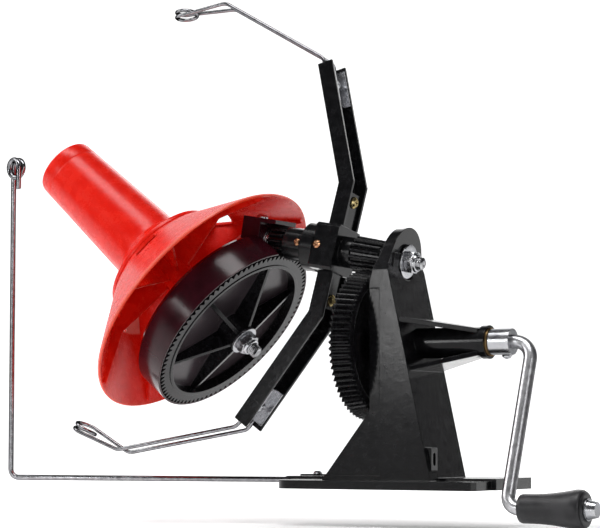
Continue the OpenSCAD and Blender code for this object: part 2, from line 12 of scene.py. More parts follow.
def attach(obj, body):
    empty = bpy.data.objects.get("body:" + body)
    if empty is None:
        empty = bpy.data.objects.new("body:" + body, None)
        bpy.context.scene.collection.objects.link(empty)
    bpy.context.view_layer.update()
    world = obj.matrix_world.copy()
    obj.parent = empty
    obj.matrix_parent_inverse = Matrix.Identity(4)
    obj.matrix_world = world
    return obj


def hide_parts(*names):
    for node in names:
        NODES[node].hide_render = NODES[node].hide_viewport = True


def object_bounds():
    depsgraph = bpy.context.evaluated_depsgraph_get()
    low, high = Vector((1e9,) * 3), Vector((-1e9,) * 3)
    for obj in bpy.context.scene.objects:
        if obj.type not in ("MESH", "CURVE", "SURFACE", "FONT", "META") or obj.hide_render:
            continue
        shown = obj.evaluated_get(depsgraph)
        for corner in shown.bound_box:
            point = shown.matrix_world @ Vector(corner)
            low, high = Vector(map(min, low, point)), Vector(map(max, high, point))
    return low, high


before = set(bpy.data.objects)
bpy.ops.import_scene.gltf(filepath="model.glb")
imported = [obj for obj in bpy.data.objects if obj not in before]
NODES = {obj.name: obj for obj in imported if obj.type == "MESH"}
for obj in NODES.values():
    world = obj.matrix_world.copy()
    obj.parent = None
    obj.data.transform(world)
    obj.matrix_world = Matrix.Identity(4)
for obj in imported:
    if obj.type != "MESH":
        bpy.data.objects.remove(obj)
cad_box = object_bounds()
MM = 0.001
TAU = 2 * math.pi

# ---- Driving sizes, as in the part ----
MAIN_H, MAIN_TILT = 172.4, 10.0
BOBBIN_TILT, MEET_X = 40.3, 260.6
MEET_Z = MAIN_H + MEET_X * math.tan(math.radians(MAIN_TILT))
CRANK_H, CRANK_TURN, THROW = 109.0, 22.0, 130.0
SHAFT_R = 5.0
BORE_R = 5.05
NUT_ACROSS = 16.0
HEAD_T = 4.6
SHAFT_END = 20.5
BLOCK_T, BLOCK_END, BOSS_T = -134.4, -118.4, -10.7
FLYER_TURN, KNEE_R, TIP_R, ARM_LEAN = 9.0, 52.4, 145.0, 25.0
ARM_T, ARM_D, CHANNEL_T, LEG_GAP, WIRE_R = -54.5, 12.5, 2.4, 17.0, 1.5
GEAR_HUB_END = 159.1
GRIP_X, GRIP_LEN = 121.0, 50.0
SHAFT_THREAD_FROM = HEAD_T + 2
SPOT_FACE_T = HEAD_T + 1.6
MAIN_NUT_T = (HEAD_T + 3.4, HEAD_T + 11.6)
GEAR_NUT_S = (GEAR_HUB_END + 2, GEAR_HUB_END + 11)
DRIVE_NUT_X = (-43.6, -35.6)
BOBBIN_SHAFT_S = (46, 177)
TUBE_END, TUBE_R, TUBE_BASE_R, FLANGE_R, FLANGE_T = -67.0, 25.4, 30.4, 107.5, 2.8
TUBE_MEETS_FLARE = 37
PLATE_S, PLATE_T, PLATE_R, BOSS_R, BOSS_END = 59.4, 3.0, 52.0, 13.0, 112.4
OPENING_R, OPENING_ANGLE, RIB_ANGLE, RIB_COUNT = (52.0, 63.0), 160, 11, 8
SOCKET = np.array([-104.4, 37.0, 5.0])
GUIDE_TURN, GUIDE_REACH, GUIDE_H, GUIDE_R = 9.7, 260.0, 262.0, 2.2


# ---- Places: each takes points along an axis (x down, y across, z towards the crank) to the frame ----
def turned(tilt):
    """Columns are where local x, y and z point: z along an axis tilted down towards the crank."""
    c, s = math.cos(math.radians(tilt)), math.sin(math.radians(tilt))
    return np.array([[-s, 0, c], [0, 1, 0], [-c, 0, -s]], float)


def placer(origin, tilt, spin=0.0):
    """A function that spins points about local z by spin degrees, tilts them and moves them to origin."""
    c, s = math.cos(math.radians(spin)), math.sin(math.radians(spin))
    turn = turned(tilt) @ np.array([[c, -s, 0], [s, c, 0], [0, 0, 1]], float)
    return lambda p: np.asarray(p, float) @ turn.T + np.array(origin, float)


on_main = placer((0, 0, MAIN_H), MAIN_TILT)
on_flyer = placer((0, 0, MAIN_H), MAIN_TILT, -FLYER_TURN)
on_bobbin = placer((-MEET_X, 0, MEET_Z), BOBBIN_TILT)
on_crank = placer((0, 0, CRANK_H), 0)
on_crank_turned = placer((0, 0, CRANK_H), 0, -CRANK_TURN)


def on_arm(side):
    """Places arm points (x towards the crank, y across, z outwards) on the arm at 0 or 180 degrees."""
    c = 1 if side == 0 else -1
    return lambda p: on_flyer(np.stack([-c * p[..., 2], c * p[..., 1], p[..., 0] + ARM_T], -1))


# ---- Surfaces ----
def angles(count, start=0.0):
    return start + TAU * np.arange(count) / count


def quads(rows, cols, first=0, wrap_rows=False, wrap_cols=True):
    """Four-cornered faces between neighbouring points of a rows x cols grid, counted from first."""
    i = np.arange(rows if wrap_rows else rows - 1)[:, None]
    j = np.arange(cols if wrap_cols else cols - 1)[None, :]
    a, b = i * cols, ((i + 1) % rows) * cols
    k, n = j, (j + 1) % cols
    return (np.stack([a + k, a + n, b + n, b + k], -1) + first).reshape(-1, 4)


def turned_grid(profile, cols=64, start=0.0):
    """Each profile point (z, r) swung round the z axis: (r cos a, r sin a, z)."""
    z, r = np.asarray(profile, float).T
    a = angles(cols, start)
    return np.stack([r[:, None] * np.cos(a), r[:, None] * np.sin(a), np.repeat(z[:, None], cols, 1)], -1)


def grid_part(points, wrap_rows=False, wrap_cols=True):
    """A grid of points as (flat points, faces)."""
    rows, cols = points.shape[:2]
    return points.reshape(-1, 3), quads(rows, cols, 0, wrap_rows, wrap_cols)


def turned_part(profile, cols=64, loop=False, start=0.0):
    """A turned solid. Its profile starts and ends on the axis, or runs round a closed loop."""
    return grid_part(turned_grid(profile, cols, start), wrap_rows=loop)


def arc(centre, radius, from_deg, to_deg, steps=5):
    """Points (z, r) round a centre, from one angle to another; 0 degrees points along z."""
    a = np.radians(np.linspace(from_deg, to_deg, steps))
    return np.stack([centre[0] + radius * np.cos(a), centre[1] + radius * np.sin(a)], -1)


def ring_profile(inner, outer, z0, z1, edge=0.3):
    """A closed loop (z, r): a rectangle with its four corners rounded by edge."""
    return np.concatenate([
        arc((z0 + edge, outer - edge), edge, 180, 90), arc((z1 - edge, outer - edge), edge, 90, 0),
        arc((z1 - edge, inner + edge), edge, 0, -90), arc((z0 + edge, inner + edge), edge, -90, -180)])


def ring(place, inner, outer, z0, z1, edge=0.3, cols=72):
    points, faces = turned_part(ring_profile(inner, outer, z0, z1, edge), cols, loop=True)
    return place(points), faces


def unit(v):
    return v / np.linalg.norm(v, axis=-1, keepdims=True)


def rounded_path(corners, radii, steps=8):
    """The corners of a path with each inner one replaced by an arc of its radius, steps points long."""
    corners = np.asarray(corners, float)
    out = [corners[:1]]
    for a, b, c, r in zip(corners, corners[1:], corners[2:], radii):
        u, v = unit(b - a), unit(c - b)
        turn = math.acos(float(np.clip(u @ v, -1, 1)))
        w = unit(v - (v @ u) * u)
        f = turn * np.linspace(0, 1, steps)[:, None]
        out.append(b - u * r * math.tan(turn / 2) + r * (np.sin(f) * u + (1 - np.cos(f)) * w))
    return np.concatenate(out + [corners[-1:]])


def wire_part(path, radius, hint, sides=20):
    """A round section carried along a path. Each section lies across the path's heading, set out from
    the heading crossed with hint; both ends are closed by half-round caps of shrinking sections."""
    path = np.asarray(path, float)
    ahead = np.vstack([path[1:], path[-1:]])
    behind = np.vstack([path[:1], path[:-1]])
    heading = unit(ahead - behind)
    cap = np.linspace(0, 1, 5)[:-1]
    lead = path[0] - heading[0] * radius * 0.45 * (1 - cap)[:, None]
    tail = path[-1] + heading[-1] * radius * 0.45 * (1 - cap[::-1])[:, None]
    spine = np.vstack([lead, path, tail])
    heading = np.vstack([np.repeat(heading[:1], 4, 0), heading, np.repeat(heading[-1:], 4, 0)])
    dome = np.sqrt(1 - (1 - cap) ** 2)
    swell = np.concatenate([dome, np.ones(len(path)), dome[::-1]])
    u = unit(np.cross(heading, np.asarray(hint, float)))
    v = np.cross(heading, u)
    a = angles(sides)
    section = np.cos(a)[None, :, None] * u[:, None] + np.sin(a)[None, :, None] * v[:, None]
    return grid_part(spine[:, None] + radius * swell[:, None, None] * section)


def joined(parts):
    """Several (points, faces) as one."""
    points, faces, first = [], [], 0
    for p, f in parts:
        points.append(p)
        faces.append(f + first)
        first += len(p)
    return np.concatenate(points), np.concatenate(faces)


def make(name, parts, body, replaced=(), finish=None, sharp=35):
    """One mesh piece from parts: poles are merged, faces turned outwards, edges over sharp degrees kept."""
    points, faces = joined(parts)
    mesh = bpy.data.meshes.new(name)
    mesh.from_pydata([], [], [])
    mesh.vertices.add(len(points))
    mesh.vertices.foreach_set("co", (points * MM).ravel())
    mesh.loops.add(faces.size)
    mesh.loops.foreach_set("vertex_index", faces.ravel().astype(np.int32))
    mesh.polygons.add(len(faces))
    mesh.polygons.foreach_set("loop_start", np.arange(0, faces.size, 4, dtype=np.int32))
    mesh.update(calc_edges=True)
    bm = bmesh.new()
    bm.from_mesh(mesh)
    bmesh.ops.remove_doubles(bm, verts=bm.verts, dist=1e-7)
    bmesh.ops.dissolve_degenerate(bm, edges=bm.edges, dist=1e-8)
    bmesh.ops.recalc_face_normals(bm, faces=bm.faces)
    bm.to_mesh(mesh)
    bm.free()
    mesh.polygons.foreach_set("use_smooth", np.ones(len(mesh.polygons), bool))
    mesh.set_sharp_from_angle(angle=math.radians(sharp))
    piece = bpy.data.objects.new(name, mesh)
    bpy.context.scene.collection.objects.link(piece)
    if body:
        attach(piece, body)
    if replaced:
        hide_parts(*replaced)
    if finish:
        mesh.materials.append(finish)
    return piece


# ---- Finishes ----
class Signal:
    """A shader socket. Arithmetic on it adds Math nodes."""

    def __init__(self, recipe, socket):
        self.recipe, self.socket = recipe, socket

    def math(self, operation, *values):
        return self.recipe.add("ShaderNodeMath", {"operation": operation}, dict(enumerate(values)))

    def __add__(self, other): return self.math("ADD", self, other)
    def __radd__(self, other): return self.math("ADD", other, self)
    def __sub__(self, other): return self.math("SUBTRACT", self, other)
    def __rsub__(self, other): return self.math("SUBTRACT", other, self)
    def __mul__(self, other): return self.math("MULTIPLY", self, other)
    def __rmul__(self, other): return self.math("MULTIPLY", other, self)
    def __truediv__(self, other): return self.math("DIVIDE", self, other)
    def __rtruediv__(self, other): return self.math("DIVIDE", other, self)
    def __neg__(self): return self.math("MULTIPLY", self, -1.0)
    def __abs__(self): return self.math("ABSOLUTE", self)
    def __mod__(self, other): return self.math("FLOORED_MODULO", self, other)


class Recipe:
    """One finish: a material whose nodes are added by name."""

    def __init__(self, name):
        self.material = bpy.data.materials.new(name)
        self.material.use_nodes = True
        self.tree = self.material.node_tree
        self.tree.nodes.clear()

    def add(self, kind, settings=None, sockets=None, out=0):
        """A node of this kind: its settings first, then the values or links of its sockets."""
        node = self.tree.nodes.new(kind)
        for key, value in (settings or {}).items():
            if key == "stops":
                ramp = node.color_ramp.elements
                while len(ramp) < len(value):
                    ramp.new(0.5)
                for element, (at, colour) in zip(ramp, value):
                    element.position, element.color = at, (*colour, 1)
            else:
                setattr(node, key, value)
        for key, value in (sockets or {}).items():
            if isinstance(value, Signal):
                self.tree.links.new(value.socket, node.inputs[key])
            elif value is not None:
                node.inputs[key].default_value = value
        return Signal(self, node.outputs[out]) if len(node.outputs) else None

    def place(self, origin=(0, 0, 0), turn=(0, 0, 0), size=(1, 1, 1)):
        """Object coordinates, seen from a frame at origin (in metres), turned by these angles."""
        at = self.add("ShaderNodeTexCoord", out=3)
        return self.add("ShaderNodeMapping", {"vector_type": "TEXTURE"},
                        {"Vector": at, "Location": origin, "Rotation": turn, "Scale": size})

    def axes(self, vector):
        split = self.add("ShaderNodeSeparateXYZ", sockets={0: vector})
        node = split.socket.node
        return [Signal(self, node.outputs[k]) for k in range(3)]

    def noise(self, vector, grain, detail=3.0, rough=0.5, warp=0.0):
        """Fractal noise whose blobs are about grain metres across."""
        return self.add("ShaderNodeTexNoise", {"noise_dimensions": "3D"},
                        {"Vector": vector, "Scale": 1 / grain, "Detail": detail, "Roughness": rough,
                         "Distortion": warp})

    def step(self, value, low, high, to_low=0.0, to_high=1.0):
        """Rises smoothly from to_low to to_high as value goes from low to high."""
        return self.add("ShaderNodeMapRange", {"interpolation_type": "SMOOTHSTEP", "clamp": True},
                        {"Value": value, "From Min": low, "From Max": high,
                         "To Min": to_low, "To Max": to_high})

    def blend(self, share, first, second):
        """Colour from first to second as share goes from 0 to 1."""
        pad = [c if isinstance(c, Signal) else (*c, 1) for c in (first, second)]
        return self.add("ShaderNodeMix", {"data_type": "RGBA"}, {0: share, 6: pad[0], 7: pad[1]}, out=2)

    def relief(self, height, depth, strength=1.0, rounding=None):
        """A bump of this depth in metres, over edges rounded by rounding metres."""
        base = self.add("ShaderNodeBevel", {"samples": 6}, {"Radius": rounding}) if rounding else None
        return self.add("ShaderNodeBump", {}, {"Height": height, "Distance": depth, "Strength": strength,
                                               "Normal": base})

    def finish(self, **sockets):
        """Closes the finish with one Principled shader. Underscores in socket names stand for spaces."""
        named = {key.replace("_", " "): value for key, value in sockets.items()}
        shader = self.add("ShaderNodeBsdfPrincipled", {}, named)
        self.add("ShaderNodeOutputMaterial", {}, {"Surface": shader})
        return self.material


def moulded_black(name, dark, light, rough, grain=0.006, rounding=0.0007):
    """Glossy moulded nylon: slow mottling, flow marks, fine handling scratches, soft moulded edges."""
    r = Recipe(name)
    at = r.place()
    mottle = r.noise(at, grain, 4)
    flow = r.noise(r.place(size=(1, 1, 0.2)), 0.018, 3, 0.6, 0.6)
    scratch = r.noise(r.place(turn=(0.3, 0.5, 0.2), size=(0.05, 1, 1)), 0.0007, 2)
    dust = r.step(r.noise(at, 0.0011, 2, 0.7), 0.66, 0.74)
    scuffs = r.step(scratch, 0.62, 0.72)
    colour = r.blend(r.step(mottle, 0.3, 0.7), dark, light)
    colour = r.blend(dust * 0.05 + scuffs * 0.02, colour, (0.22, 0.22, 0.23))
    gloss = rough + (flow - 0.5) * 0.10 + scuffs * 0.06 + dust * 0.08 + (mottle - 0.5) * 0.06
    height = mottle * 0.5 + r.noise(at, 0.0006, 2) * 0.03 - scuffs * 0.04
    return r.finish(Base_Color=colour, Roughness=gloss, IOR=1.36,
                    Normal=r.relief(height, 0.00022, 0.5, rounding))


def metal(name, dark, light, rough, lines=(1, 1, 1), depth=0.00003, rounding=0.0003, spangle=0.004, edge=0.3,
          rim=0.5):
    """Plated or drawn metal: cloudy plating, fine lines drawn along the long direction, small pits, and
    painted shade: a darker tone, set by edge, where the surface turns away from the view."""
    r = Recipe(name)
    at = r.place()
    cloud = r.noise(at, spangle, 4, 0.6)
    drawn = r.noise(r.place(size=lines), 0.0005, 3)
    pits = r.step(r.noise(at, 0.0009, 2), 0.68, 0.78)
    colour = r.blend(r.step(cloud, 0.3, 0.7), dark, light)
    colour = r.blend(pits * 0.35, colour, tuple(0.45 * c for c in dark))
    # Painted shade: the colour darkens where the surface turns away from the view, standing in for dark
    # reflections
    away = r.add("ShaderNodeLayerWeight", {}, {"Blend": 0.5}, out=1)
    colour = r.blend(r.step(away, 0.15, 0.85), colour, tuple(edge * c for c in dark))
    gloss = rough + (cloud - 0.5) * 0.16 + (drawn - 0.5) * 0.12 + pits * 0.2
    height = drawn * 0.5 + cloud * 0.4 - pits * 0.6
    return r.finish(Base_Color=colour, Metallic=1.0, Roughness=gloss, Specular_Tint=(rim, rim, rim, 1),
                    Normal=r.relief(height, depth, 0.6, rounding))


AXIS_TURN = {"main": (0, math.radians(90 + MAIN_TILT), 0), "bobbin": (0, math.radians(90 + BOBBIN_TILT), 0),
             "crank": (0, math.radians(90), 0)}
AXIS_ORIGIN = {"main": (0, 0, MAIN_H * MM), "bobbin": (-MEET_X * MM, 0, MEET_Z * MM),
               "crank": (0, 0, CRANK_H * MM)}


def around(r, axis):
    """Radius, angle and distance along one of the winder's axes, in metres and radians."""
    x, y, z = r.axes(r.place(AXIS_ORIGIN[axis], AXIS_TURN[axis]))
    return (x * x + y * y).math("SQRT", x * x + y * y), y.math("ARCTAN2", y, x), z


def gear_black(name, axis, tooth_r, web=None):
    """Glossy gear nylon: teeth polished by running, grey rub marks on their tips, and a satin web whose
    grey-purple tone is a painted reflection.
    """
    r = Recipe(name)
    at = r.place()
    radius, _, along = around(r, axis)
    mottle = r.noise(at, 0.004, 4)
    rub = r.noise(at, 0.0012, 3, 0.6)
    tips = r.step(radius, tooth_r - 0.0016, tooth_r + 0.0004)
    colour = r.blend(r.step(mottle, 0.3, 0.7), (0.004, 0.004, 0.0045), (0.010, 0.0095, 0.011))
    colour = r.blend(tips * r.step(rub, 0.45, 0.7) * 0.3, colour, (0.07, 0.07, 0.075))
    gloss = 0.20 + (mottle - 0.5) * 0.12 + tips * 0.06
    height = mottle * 0.4 + r.noise(at, 0.0007, 2) * 0.2
    if web:
        inside = (1 - r.step(radius, web - 0.0006, web)) * (1 - r.step(along, 0.1412, 0.1418))
        # Painted reflection: the web is tinted grey-purple
        colour = r.blend(inside * 0.7, colour, (0.075, 0.058, 0.066))
        gloss = gloss + inside * (0.04 + (rub - 0.5) * 0.10)
        height = height + (radius * 2600).math("SINE", radius * 2600) * inside * 0.05
    return r.finish(Base_Color=colour, Roughness=gloss, IOR=1.33,
                    Normal=r.relief(height, 0.00014, 0.5, 0.0004))


def red_plastic(name):
    """Glossy see-through red, cloudy inside, with fine turned lines; painted light: a faint glow, pale
    highlight lines on the grooves, a brighter highlight band at the rim, and paler window panels beside the
    flange's four openings where light shines through the thin wall."""
    r = Recipe(name)
    at = r.place()
    radius, angle, along = around(r, "bobbin")
    cloud = r.noise(at, 0.012, 4, 0.55)
    grain = r.noise(at, 0.0012, 3)
    # Share of a turn, 0 to 1, from the rib above each pale patch; the patches are painted light shining
    # through the thin wall from behind
    turn = (angle / TAU - 101 / 360) % 1
    upper = r.step(turn, 0.030, 0.036) * (1 - r.step(turn, 0.119, 0.122))
    lower = r.step(turn, 0.630, 0.640) * (1 - r.step(turn, 0.742, 0.746))
    back = r.step(along - radius * 0.857, 0.0196, 0.0204)
    painted_backlight_panel = (upper + lower) * r.step(radius, 0.0515, 0.0525) * (1 - r.step(radius, 0.0620, 0.0640)) * back
    colour = r.blend(r.step(cloud, 0.25, 0.75), (0.78, 0.008, 0.002), (0.88, 0.016, 0.005))
    # Painted highlight: a brighter orange band along the flange's rim
    rim = r.step(radius, 0.104, 0.1072)
    colour = r.blend(rim * 0.40, colour, (0.98, 0.12, 0.05))
    # Painted light: pale pink patches where light shines through the thin wall
    colour = r.blend(painted_backlight_panel * 0.85, colour, (0.93, 0.34, 0.28))
    rings = (along * 5200).math("SINE", along * 5200) * r.step(radius, 0.034, 0.030)
    lengthwise = r.place(AXIS_ORIGIN["bobbin"], AXIS_TURN["bobbin"], (1, 1, 0.08))
    scuff = r.step(r.noise(lengthwise, 0.0009, 2), 0.6, 0.72)
    front = (1 - back) * r.step(radius, 0.034, 0.036)
    # Painted highlights: pale lines along the turned grooves on the flange's front
    groove = r.step((radius * (TAU / 0.0021)).math("SINE", radius * (TAU / 0.0021)), 0.3, 0.9) * front
    colour = r.blend(groove * 0.30, colour, (1.0, 0.42, 0.34))
    colour = r.blend(scuff * 0.08, colour, (1.0, 0.35, 0.26))
    gloss = 0.27 + (cloud - 0.5) * 0.12 + scuff * 0.14 + (grain - 0.5) * 0.06
    height = grain * 0.25 + cloud * 0.5 + rings * 0.12 - scuff * 0.1 + groove * 0.6
    # Painted light: a faint red glow from the plastic itself, standing in for light passing through it
    return r.finish(Base_Color=colour, Roughness=gloss, IOR=1.38, Subsurface_Weight=0.12,
                    Emission_Color=colour, Emission_Strength=0.04,
                    Subsurface_Radius=(0.004, 0.0006, 0.0004), Subsurface_Scale=1.0,
                    Normal=r.relief(height, 0.00012, 0.5))


def grip_plastic(name):
    """Satin grey-black grip: fine spark-eroded grain with palm-polished patches."""
    r = Recipe(name)
    at = r.place()
    palm = r.noise(at, 0.011, 3)
    grain = r.noise(at, 0.0005, 3, 0.6)
    colour = r.blend(r.step(palm, 0.35, 0.65), (0.018, 0.018, 0.020), (0.034, 0.033, 0.036))
    gloss = 0.40 + (palm - 0.5) * 0.2 + (grain - 0.5) * 0.12
    return r.finish(Base_Color=colour, Roughness=gloss, IOR=1.5, Normal=r.relief(grain, 0.00010, 0.5, 0.0005))


NYLON = moulded_black("moulded_black_nylon", (0.004, 0.004, 0.0045), (0.008, 0.008, 0.009), 0.17)
# Black nylon housing; its maroon tone is a painted reflection of the red bobbin
HOUSING_PAINTED_RED_REFLECTION = moulded_black("housing_black_nylon_painted_red_reflection", (0.026, 0.003, 0.006), (0.040, 0.005, 0.010), 0.16, 0.014)
ARM_BLACK = moulded_black("arm_black_nylon", (0.004, 0.004, 0.0045), (0.009, 0.009, 0.010), 0.17,
                          0.006, 0.0008)
DRIVE_BLACK = gear_black("drive_gear_nylon", "crank", 0.0566)
PINION_BLACK = gear_black("pinion_nylon", "main", 0.0128)
BOBBIN_BLACK = gear_black("bobbin_gear_nylon", "bobbin", 0.0745, web=0.0634)
RED = red_plastic("red_bobbin_plastic")
GRIP_BLACK = grip_plastic("grip_black_plastic")
WIRE = metal("plated_wire", (0.24, 0.24, 0.25), (0.40, 0.40, 0.42), 0.20, (0.04, 0.04, 0.04), 0.00001,
             edge=0.15, rim=0.08)
ZINC = metal("zinc_plate", (0.60, 0.61, 0.64), (0.80, 0.80, 0.82), 0.24, (1, 1, 0.1), 0.00001,
             spangle=0.008, edge=0.5)
DRAWN = metal("drawn_steel", (0.50, 0.50, 0.52), (0.72, 0.72, 0.74), 0.22, (0.06, 1, 1), 0.00002)
CRANK_STEEL = metal("satin_crank_plate", (0.62, 0.62, 0.64), (0.84, 0.84, 0.86), 0.33, (1, 1, 0.05), 0.00002)
BRONZE = metal("bush_bronze", (0.40, 0.24, 0.10), (0.62, 0.40, 0.18), 0.34)
COPPER = metal("copper_screw_plate", (0.50, 0.22, 0.11), (0.80, 0.45, 0.25), 0.26)
BRASS = metal("brass_plate", (0.55, 0.42, 0.18), (0.82, 0.68, 0.36), 0.24)

CAD_FINISHES = {
    "stand": NYLON, "bobbin_housing": HOUSING_PAINTED_RED_REFLECTION, "flyer_hub": ARM_BLACK, "hub_collar": NYLON,
    "upper_arm": ARM_BLACK, "lower_arm": ARM_BLACK, "drive_gear": DRIVE_BLACK, "flyer_pinion": PINION_BLACK,
    "small_pinion": PINION_BLACK, "bobbin_gear": BOBBIN_BLACK, "bobbin_cone": RED, "grip": GRIP_BLACK,
    "main_shaft": DRAWN, "bobbin_shaft": DRAWN, "crank_rod": CRANK_STEEL, "crank_collar": ZINC,
    "bobbin_bush": BRONZE, "crank_bush_inner": BRONZE, "crank_bush_outer": BRONZE, "flyer_bush_inner": BRONZE,
    "flyer_bush_outer": BRONZE, "hub_screws": COPPER, "arm_screws": BRASS, "upper_guide": WIRE,
    "lower_guide": WIRE, "yarn_guide": WIRE}
for node_name, node in NODES.items():
    node.data.materials.clear()
    node.data.materials.append(CAD_FINISHES.get(node_name, ZINC))


# ---- Bent wires ----
def wire_guide(name, side):
    """Two legs that leave the arm's tip, bend twice and meet in a coil of one and a half turns."""
    lean = math.radians(ARM_LEAN)
    off = CHANNEL_T - ARM_D / 2 + WIRE_R + 0.1
    outer = (TIP_R - KNEE_R) / math.cos(lean)
    far, end = np.array([-149.6, 0, 185.7]), np.array([-189.6, 0, 175.0])
    along = unit(end - far)
    up = np.array([-along[2], 0, along[0]])
    rise = 3.2

    def leg_point(d):
        return np.array([-math.sin(lean) * d + off * math.cos(lean), 0,
                         KNEE_R + math.cos(lean) * d + off * math.sin(lean)])

    def leg(s):
        shift = np.array([0, s * LEG_GAP / 2, 0])
        corners = [leg_point(outer - 33), leg_point(outer + 5), far, end - s * rise * up]
        return rounded_path([c + shift for c in corners], [9, 12], 10)

    t = np.linspace(0, 1, 73)[:, None]
    a = np.pi / 2 - 3 * np.pi * t
    coil = end + LEG_GAP / 2 * (np.cos(a) * along + np.sin(a) * np.array([0, 1, 0])) + rise * (2 * t - 1) * up
    path = np.vstack([leg(1)[:-1], coil, leg(-1)[::-1][1:]])
    points, faces = wire_part(path, WIRE_R, (math.cos(math.radians(70)), 0, math.sin(math.radians(70))))
    node = "upper_guide" if side == 0 else "lower_guide"
    return make(name, [(on_arm(side)(points), faces)], "flyer", [node], WIRE)


wire_guide("upper_wire_guide", 0)
wire_guide("lower_wire_guide", 180)


def yarn_guide():
    """A wire from the socket, up a stem, round one and a half turns of an eye, and down a short tail."""
    turn, eye = math.radians(GUIDE_TURN), math.radians(12)
    away = np.array([-math.cos(turn), -math.sin(turn), 0])
    corner = SOCKET + GUIDE_REACH * away
    top = np.array([corner[0], corner[1], GUIDE_H])
    h = np.array([math.cos(eye), -math.sin(eye), 0])
    a = np.array([-math.sin(eye), -math.cos(eye), 0])
    k = np.linspace(0, 1, 61)[:, None]
    f = np.pi - 3 * np.pi * k
    coil = top + 7.3 * ((1 + np.cos(f)) * h + np.sin(f) * np.array([0, 0, 1])) + a * 4.9 * 1.5 * k
    path = np.vstack([rounded_path([SOCKET - 20 * away, corner, top], [7], 12)[:-1], coil,
                      coil[-1:] - np.array([[0, 0, 17]])])
    return make("yarn_guide_wire", [wire_part(path, GUIDE_R, a)], "yarn_guide", ["yarn_guide"], WIRE)


yarn_guide()


# ---- Shafts, nuts and washers ----
def threaded_shaft(name, place, z0, z1, thread_from, body, node, slot):
    """A round bar with a chamfered end. Past thread_from its radius follows a triangular thread:
    crest minus depth times the distance from the nearest crest along the helix."""
    pitch, depth, cols = 1.5, 0.62, 48
    z = np.concatenate([[z0, z0, z0 + 0.8], [thread_from], np.arange(thread_from + 0.1, z1 - 0.9, pitch / 10),
                        [z1 - 0.8, z1, z1, z1 - 0.6]])
    a = angles(cols)[None, :]
    turn = (z[:, None] / pitch - a / TAU) % 1
    r = SHAFT_R - depth * np.abs(2 * turn - 1) * (z > thread_from)[:, None]
    r[0], r[1], r[2], r[3] = 0, SHAFT_R - 0.8, SHAFT_R, SHAFT_R
    r[-4], r[-3], r[-2], r[-1] = SHAFT_R - 0.7, SHAFT_R - 1.4, 1.6, 0
    points = np.stack([r * np.cos(a), r * np.sin(a), np.repeat(z[:, None], cols, 1)], -1)
    points, faces = grid_part(points)
    return make(name, [(place(points), faces)], body, [node], DRAWN, 50)


def lock_nut(name, place, z0, z1, body, node, collar=True):
    """A chamfered hexagon: its radius is the lesser of a hexagon's and a turned profile's, with a round
    locking collar at the outer end, and a bore through it."""
    across, cols = NUT_ACROSS, 96
    a = angles(cols)[None, :]
    six = across / 2 / np.cos((a + math.pi / 6) % (math.pi / 3) - math.pi / 6)
    hex_end = z0 + (z1 - z0) * (0.74 if collar else 1)
    rows = [(z0, BORE_R), (z0, 7.4), (z0, 7.9), (z0 + 0.5, 9.0), (z0 + 0.8, 9.4), (hex_end - 0.9, 9.4),
            (hex_end - 0.5, 8.8), (hex_end, 7.9), (hex_end, 7.5)]
    if collar:
        rows += [(hex_end + 0.2, 7.1), (z1 - 0.9, 6.9), (z1 - 0.4, 6.7), (z1 - 0.05, 6.2), (z1, 5.8)]
    rows += [(z1, BORE_R + 0.4), (z1 - 0.4, BORE_R)]
    z, turned_r = np.array(rows).T
    r = np.minimum(turned_r[:, None], np.where(turned_r[:, None] < 7.6, turned_r[:, None], six))
    points = np.stack([r * np.cos(a), r * np.sin(a), np.repeat(z[:, None], cols, 1)], -1)
    points, faces = grid_part(points, wrap_rows=True)
    return make(name, [(place(points), faces)], body, [node], ZINC, 28)


threaded_shaft("main_shaft_bar", on_main, BLOCK_T + 1, SHAFT_END, SHAFT_THREAD_FROM,
               "stand", "main_shaft", "shaft_steel")
threaded_shaft("bobbin_shaft_bar", on_bobbin, *BOBBIN_SHAFT_S, GEAR_HUB_END,
               "bobbin", "bobbin_shaft", "shaft_steel")
lock_nut("main_lock_nut", on_main, *MAIN_NUT_T, "stand", "shaft_nut")
lock_nut("bobbin_lock_nut", on_bobbin, *GEAR_NUT_S, "bobbin", "gear_end_nut")
lock_nut("crank_gear_nut", on_crank, *DRIVE_NUT_X, "crank", "gear_nut", collar=False)
make("main_washer", [ring(on_main, BORE_R, 13, SPOT_FACE_T, MAIN_NUT_T[0])], "stand",
     ["shaft_washer"], ZINC)
make("bobbin_washer", [ring(on_bobbin, BORE_R, 12, GEAR_HUB_END, GEAR_NUT_S[0])], "bobbin",
     ["gear_end_washer"], ZINC)
washer_t, washer_gap = 1.55, 0.05
stack = [ring(on_main, BORE_R, 8.6, t, t + washer_t, 0.45)
         for t in BLOCK_END + washer_gap + (washer_t + 0.1) * np.arange(3)]
boss_washer = ring(on_main, BORE_R, 9, BOSS_T - washer_gap - washer_t, BOSS_T - washer_gap)
make("thrust_washer_stack", stack + [boss_washer], "stand", ["thrust_washers"], ZINC)


# ---- Red bobbin ----
def flange_s(r):
    """Distance along the bobbin's axis of the flange's front face at radius r."""
    return 44 + (r - 30) * 0.857


